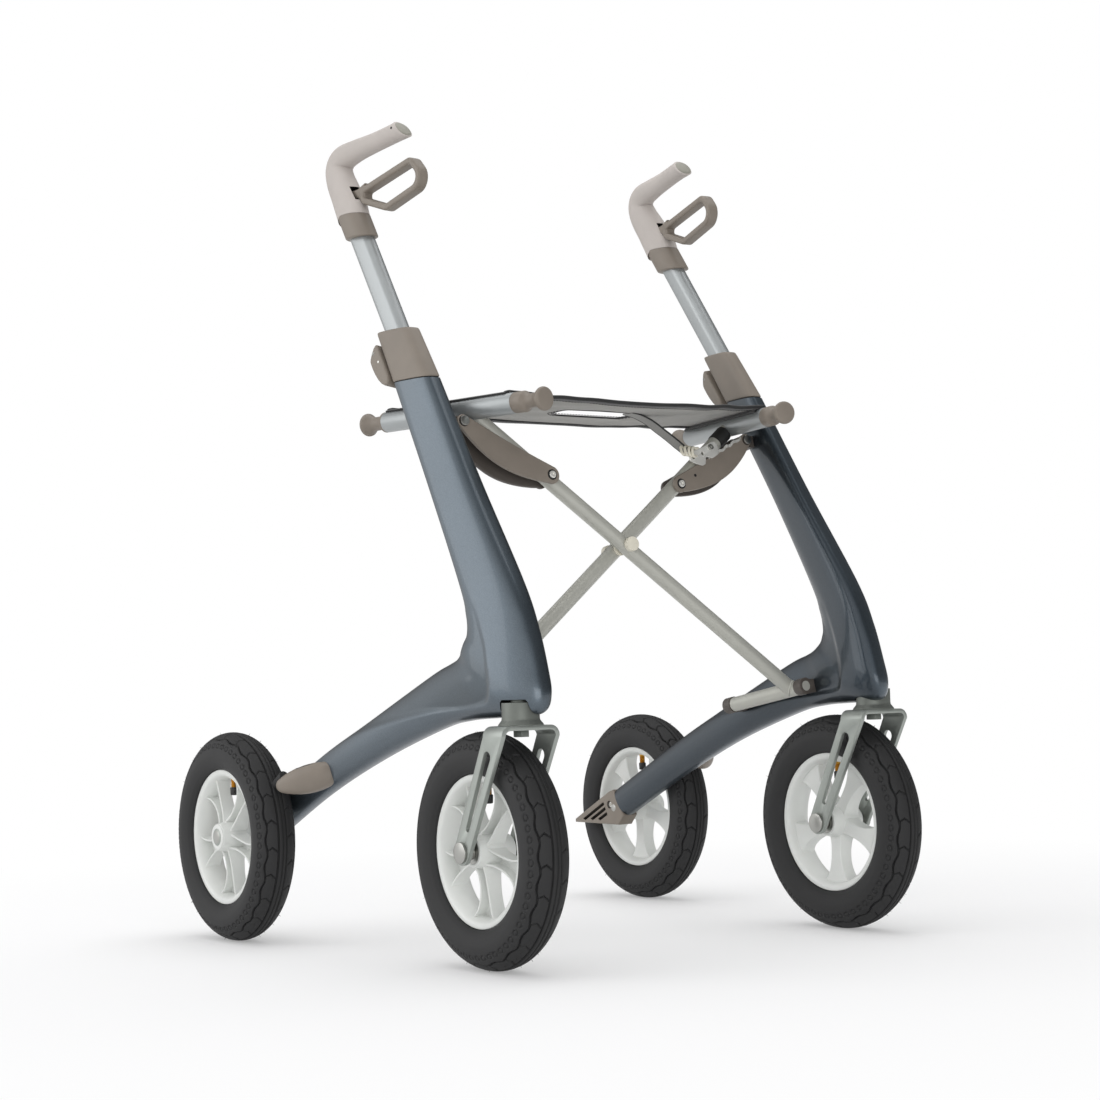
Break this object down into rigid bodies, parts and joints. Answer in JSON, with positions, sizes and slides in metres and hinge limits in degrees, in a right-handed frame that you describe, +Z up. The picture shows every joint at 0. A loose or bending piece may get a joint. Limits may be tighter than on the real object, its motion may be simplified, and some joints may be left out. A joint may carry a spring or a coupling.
{
  "type": "all terrain rollator",
  "caption": "Folding walker with boomerang side frames, telescoping grips with brake loops, a sling seat on a folding cross, swivel casters and large air tyres.",
  "frame": {"origin": "on the ground, midway between the axles and the sides", "axes": "+Z up, -Y towards the swivel casters at the front, +X to the right as seen facing the front of the walker from the casters"},
  "size_m": [0.682, 0.7278, 0.9751],
  "materials": {
    "lacquer": "glossy metallic lacquer over a carbon shell",
    "plastic": "fine matt moulding",
    "steel": "turned",
    "silver": "satin anodised",
    "champagne": "satin anodised",
    "soft_grip": "soft matt",
    "rubber": "plain",
    "fork_metal": "fine cast, powder coated",
    "tyre": "treaded",
    "rim_plastic": "satin moulding",
    "tube_rubber": "plain, with a brass valve",
    "cream_plastic": "plain",
    "seat_fabric": "woven, coated",
    "webbing": "woven",
    "bright_metal": "polished"
  },
  "bodies": {
    "left_frame": {"left_side_frame": "lacquer", "left_clamp_collar": "plastic", "left_hinge_brackets": "plastic", "left_brake_pod": "plastic", "left_kerb_pedal": "plastic", "left_rear_axle": "steel", "left_frame_screws": "steel"},
    "left_handle": {"left_handle_tube": "silver", "left_grip_collar": "plastic", "left_grip": "soft_grip"},
    "left_brake": {"left_brake_lever": "plastic"},
    "left_clamp": {"left_clamp_lever": "plastic"},
    "left_shoe": {"left_brake_shoe": "rubber"},
    "left_caster": {"left_fork": "fork_metal", "left_fork_stem": "fork_metal", "left_front_axle": "steel"},
    "left_front_wheel": {"left_front_tyre": "tyre", "left_front_rim": "rim_plastic", "left_front_bearings": "steel", "left_front_inner_tube": "tube_rubber"},
    "left_rear_wheel": {"left_rear_tyre": "tyre", "left_rear_rim": "rim_plastic", "left_rear_bearings": "steel", "left_rear_inner_tube": "tube_rubber"},
    "left_link": {"left_fold_link": "plastic"},
    "right_frame": {"right_side_frame": "lacquer", "right_clamp_collar": "plastic", "right_hinge_brackets": "plastic", "right_brake_pod": "plastic", "right_kerb_pedal": "plastic", "right_rear_axle": "steel", "right_frame_screws": "steel"},
    "right_handle": {"right_handle_tube": "silver", "right_grip_collar": "plastic", "right_grip": "soft_grip"},
    "right_brake": {"right_brake_lever": "plastic"},
    "right_clamp": {"right_clamp_lever": "plastic"},
    "right_shoe": {"right_brake_shoe": "rubber"},
    "right_caster": {"right_fork": "fork_metal", "right_fork_stem": "fork_metal", "right_front_axle": "steel"},
    "right_front_wheel": {"right_front_tyre": "tyre", "right_front_rim": "rim_plastic", "right_front_bearings": "steel", "right_front_inner_tube": "tube_rubber"},
    "right_rear_wheel": {"right_rear_tyre": "tyre", "right_rear_rim": "rim_plastic", "right_rear_bearings": "steel", "right_rear_inner_tube": "tube_rubber"},
    "right_link": {"right_fold_link": "plastic"},
    "rear_cross": {"rear_cross_tube": "champagne", "right_seat_bar": "silver", "right_seat_caps": "plastic", "cross_pivot": "cream_plastic", "seat_sling": "seat_fabric", "pull_strap": "webbing"},
    "front_cross": {"front_cross_tube": "champagne", "left_seat_bar": "silver", "left_seat_caps": "plastic"},
    "latch": {"fold_latch": "bright_metal"}
  },
  "joints": [
    {"name": "fold", "type": "hinge", "parent": "left_frame", "child": "rear_cross", "pos_m": [-0.224, -0.17784, 0.28383], "axis": [0, -0.9877, 0.1564], "range_deg": [0, 17.5], "deforming": ["seat_sling", "pull_strap"]},
    {"name": "cross_pivot", "type": "hinge", "parent": "rear_cross", "child": "front_cross", "pos_m": [0, -0.15031, 0.45766], "axis": [0, -0.9877, 0.1564], "range_deg": [-50.01, 0]},
    {"name": "right_hinge", "type": "hinge", "parent": "front_cross", "child": "right_frame", "pos_m": [0.224, -0.17784, 0.28383], "axis": [0, -0.9877, 0.1564], "range_deg": [0, 17.5]},
    {"name": "left_link_pivot", "type": "hinge", "parent": "left_frame", "child": "left_link", "pos_m": [-0.214, -0.12857, 0.59495], "axis": [0, -0.9877, 0.1564], "range_deg": [0, 50.76]},
    {"name": "right_link_pivot", "type": "hinge", "parent": "right_frame", "child": "right_link", "pos_m": [0.214, -0.12857, 0.59495], "axis": [0, -0.9877, 0.1564], "range_deg": [-50.76, 0]},
    {"name": "latch_pivot", "type": "hinge", "parent": "rear_cross", "child": "latch", "pos_m": [0.15292, -0.12007, 0.58147], "axis": [0, -0.9877, 0.1564], "range_deg": [0, 25]},
    {"name": "left_handle_slide", "type": "slide", "parent": "left_frame", "child": "left_handle", "axis": [0.0289, 0.5592, 0.8285], "range_m": [-0.07, 0.06]},
    {"name": "left_clamp_flip", "type": "hinge", "parent": "left_frame", "child": "left_clamp", "pos_m": [-0.24626, -0.0289, 0.68771], "axis": [0.9808, 0.144, -0.1314], "range_deg": [0, 70]},
    {"name": "left_brake_squeeze", "type": "hinge", "parent": "left_handle", "child": "left_brake", "pos_m": [-0.23195, 0.05624, 0.89338], "axis": [-1, 0, 0], "range_deg": [0, 16], "stiffness_Nm_per_rad": 6},
    {"name": "left_shoe_slide", "type": "slide", "parent": "left_frame", "child": "left_shoe", "axis": [0, 0.866, -0.5], "range_m": [0, 0.0037]},
    {"name": "left_caster_swivel", "type": "hinge", "parent": "left_frame", "child": "left_caster", "pos_m": [-0.25, -0.303, 0.3], "axis": [0, 0, 1], "continuous": true},
    {"name": "left_front_spin", "type": "hinge", "parent": "left_caster", "child": "left_front_wheel", "pos_m": [-0.25, -0.237, 0.127], "axis": [1, 0, 0], "continuous": true},
    {"name": "left_rear_spin", "type": "hinge", "parent": "left_frame", "child": "left_rear_wheel", "pos_m": [-0.315, 0.237, 0.127], "axis": [1, 0, 0], "continuous": true},
    {"name": "right_handle_slide", "type": "slide", "parent": "right_frame", "child": "right_handle", "axis": [-0.0289, 0.5592, 0.8285], "range_m": [-0.07, 0.06]},
    {"name": "right_clamp_flip", "type": "hinge", "parent": "right_frame", "child": "right_clamp", "pos_m": [0.24626, -0.0289, 0.68771], "axis": [0.9808, -0.144, 0.1314], "range_deg": [0, 70]},
    {"name": "right_brake_squeeze", "type": "hinge", "parent": "right_handle", "child": "right_brake", "pos_m": [0.23195, 0.05624, 0.89338], "axis": [-1, 0, 0], "range_deg": [0, 16], "stiffness_Nm_per_rad": 6},
    {"name": "right_shoe_slide", "type": "slide", "parent": "right_frame", "child": "right_shoe", "axis": [0, 0.866, -0.5], "range_m": [0, 0.0037]},
    {"name": "right_caster_swivel", "type": "hinge", "parent": "right_frame", "child": "right_caster", "pos_m": [0.25, -0.303, 0.3], "axis": [0, 0, 1], "continuous": true},
    {"name": "right_front_spin", "type": "hinge", "parent": "right_caster", "child": "right_front_wheel", "pos_m": [0.25, -0.237, 0.127], "axis": [1, 0, 0], "continuous": true},
    {"name": "right_rear_spin", "type": "hinge", "parent": "right_frame", "child": "right_rear_wheel", "pos_m": [0.315, 0.237, 0.127], "axis": [1, 0, 0], "continuous": true}
  ],
  "couplings": [
    {"joint": "cross_pivot", "follows": "fold", "ratio": -2.8571},
    {"joint": "right_hinge", "follows": "fold", "ratio": 1},
    {"joint": "left_link_pivot", "follows": "fold", "ratio": 2.9},
    {"joint": "right_link_pivot", "follows": "fold", "ratio": -2.9},
    {"joint": "left_shoe_slide", "follows": "left_brake_squeeze", "m_per_rad": 0.013233},
    {"joint": "right_shoe_slide", "follows": "right_brake_squeeze", "m_per_rad": 0.013233}
  ]
}
